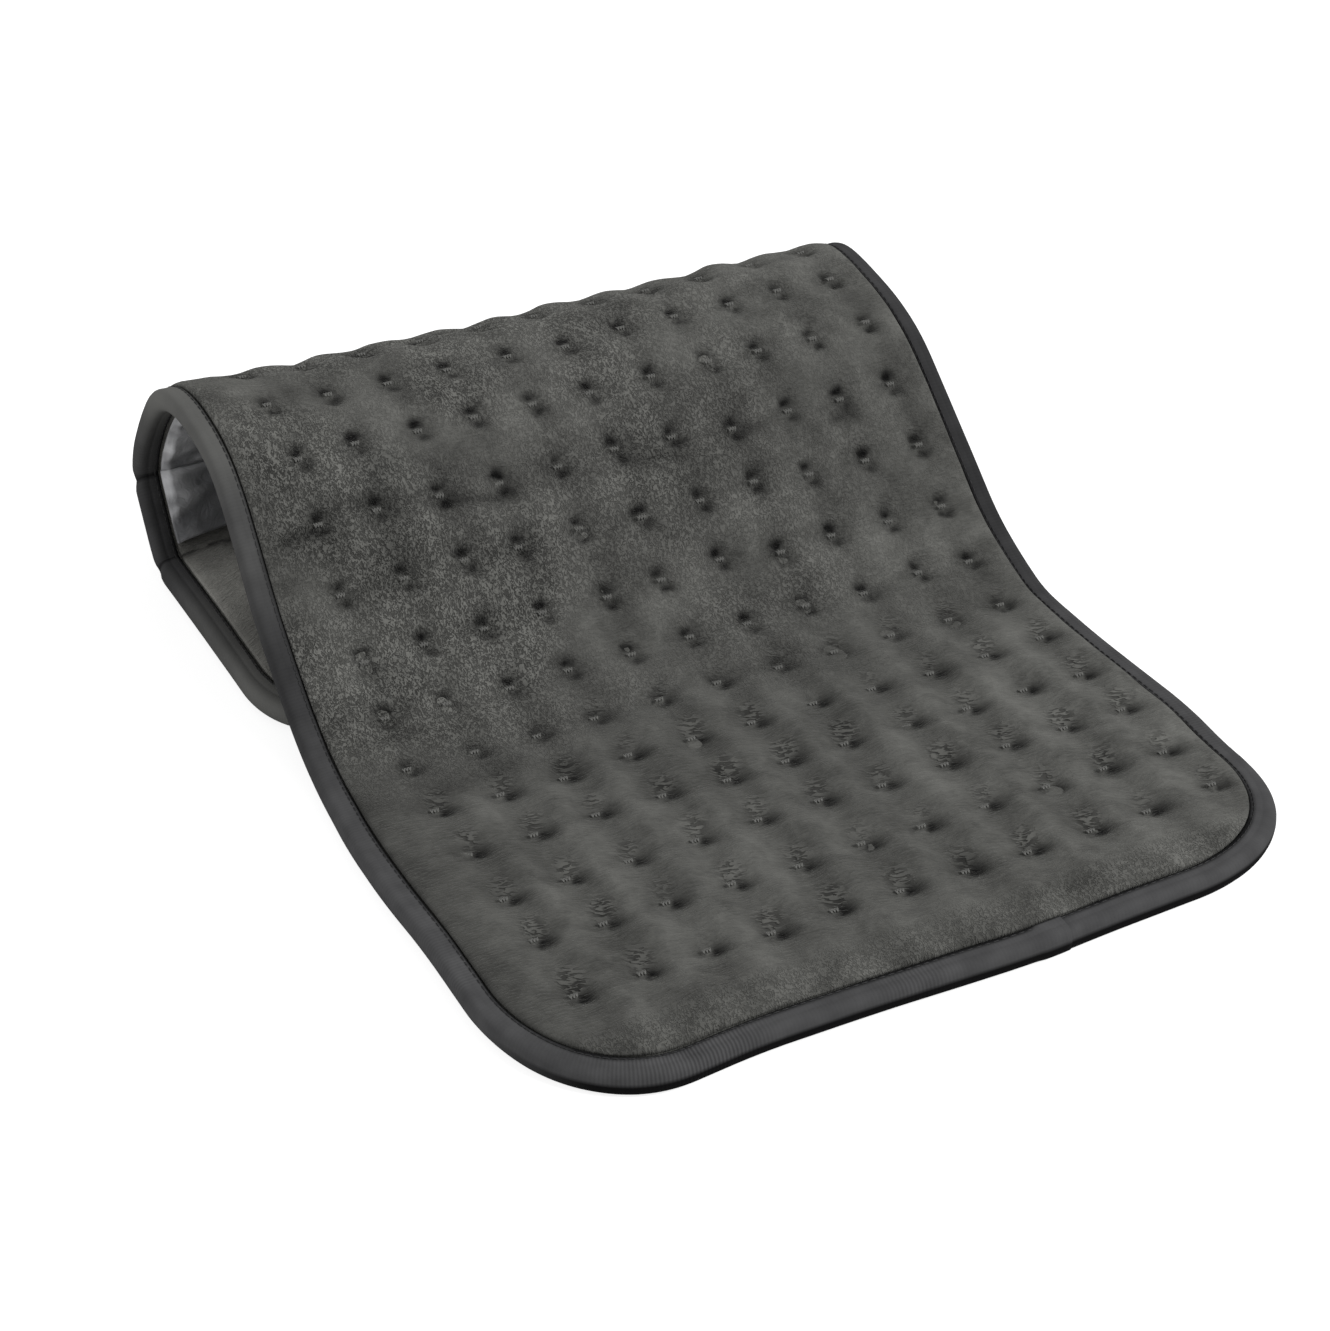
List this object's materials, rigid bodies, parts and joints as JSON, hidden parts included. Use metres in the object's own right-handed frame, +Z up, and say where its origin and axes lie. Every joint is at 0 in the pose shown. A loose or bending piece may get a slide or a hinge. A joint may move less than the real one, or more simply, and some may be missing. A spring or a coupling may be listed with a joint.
{
  "type": "heating pad",
  "caption": "Plush heating pad with a taped edge, folded to stand as an arch, with a cord inlet and its release button.",
  "frame": {"origin": "middle of the folded pad's footprint, on the surface that it stands on", "axes": "+X across the pad to the right, +Y along it from the near edge to the fold, +Z up"},
  "size_m": [0.3, 0.3838, 0.0903],
  "materials": {
    "plush": "crushed microplush pile",
    "lining": "short plush pile",
    "tape": "ribbed woven tape",
    "satin": "satin ribbon",
    "wadding": "needled polyester wadding",
    "felt": "thin felt",
    "silicone": "extruded silicone insulation",
    "lead": "smooth insulation",
    "sleeve": "braided glass sleeve",
    "tin": "tinned",
    "nylon": "moulded, fine spark texture",
    "button": "moulded",
    "insulator": "moulded",
    "brass": "turned",
    "laminate": "solder resist",
    "steel": "zinc plated"
  },
  "bodies": {
    "pad": {"top_cover": "plush", "lining": "lining", "edge_binding": "tape", "care_label": "satin", "upper_wadding": "wadding", "lower_wadding": "wadding", "heater_carrier": "felt", "heating_wire": "silicone", "lead_1": "lead", "lead_2": "lead", "thermal_cutout_1": "sleeve", "thermal_cutout_2": "sleeve", "temperature_sensor": "sleeve", "crimp_1": "tin", "crimp_2": "tin", "inlet_base": "nylon", "inlet_cover": "nylon", "clamp_plate": "nylon", "contact_block": "insulator", "contact_pin_1": "brass", "contact_pin_2": "brass", "contact_pin_3": "brass", "circuit_board": "laminate", "latch_spring_1": "steel", "latch_spring_2": "steel", "clamp_screw_1": "steel", "clamp_screw_2": "steel", "clamp_screw_3": "steel", "clamp_screw_4": "steel", "cover_screw_1": "steel", "cover_screw_2": "steel"},
    "release_button": {"release_latch": "button"}
  },
  "joints": [
    {"name": "release_slide", "type": "slide", "parent": "pad", "child": "release_button", "axis": [0, 0, -1], "range_m": [0, 0.0015], "stiffness_N_per_m": 1200, "springref_m": -0.0005, "deforming": ["latch_spring_1", "latch_spring_2"]}
  ]
}
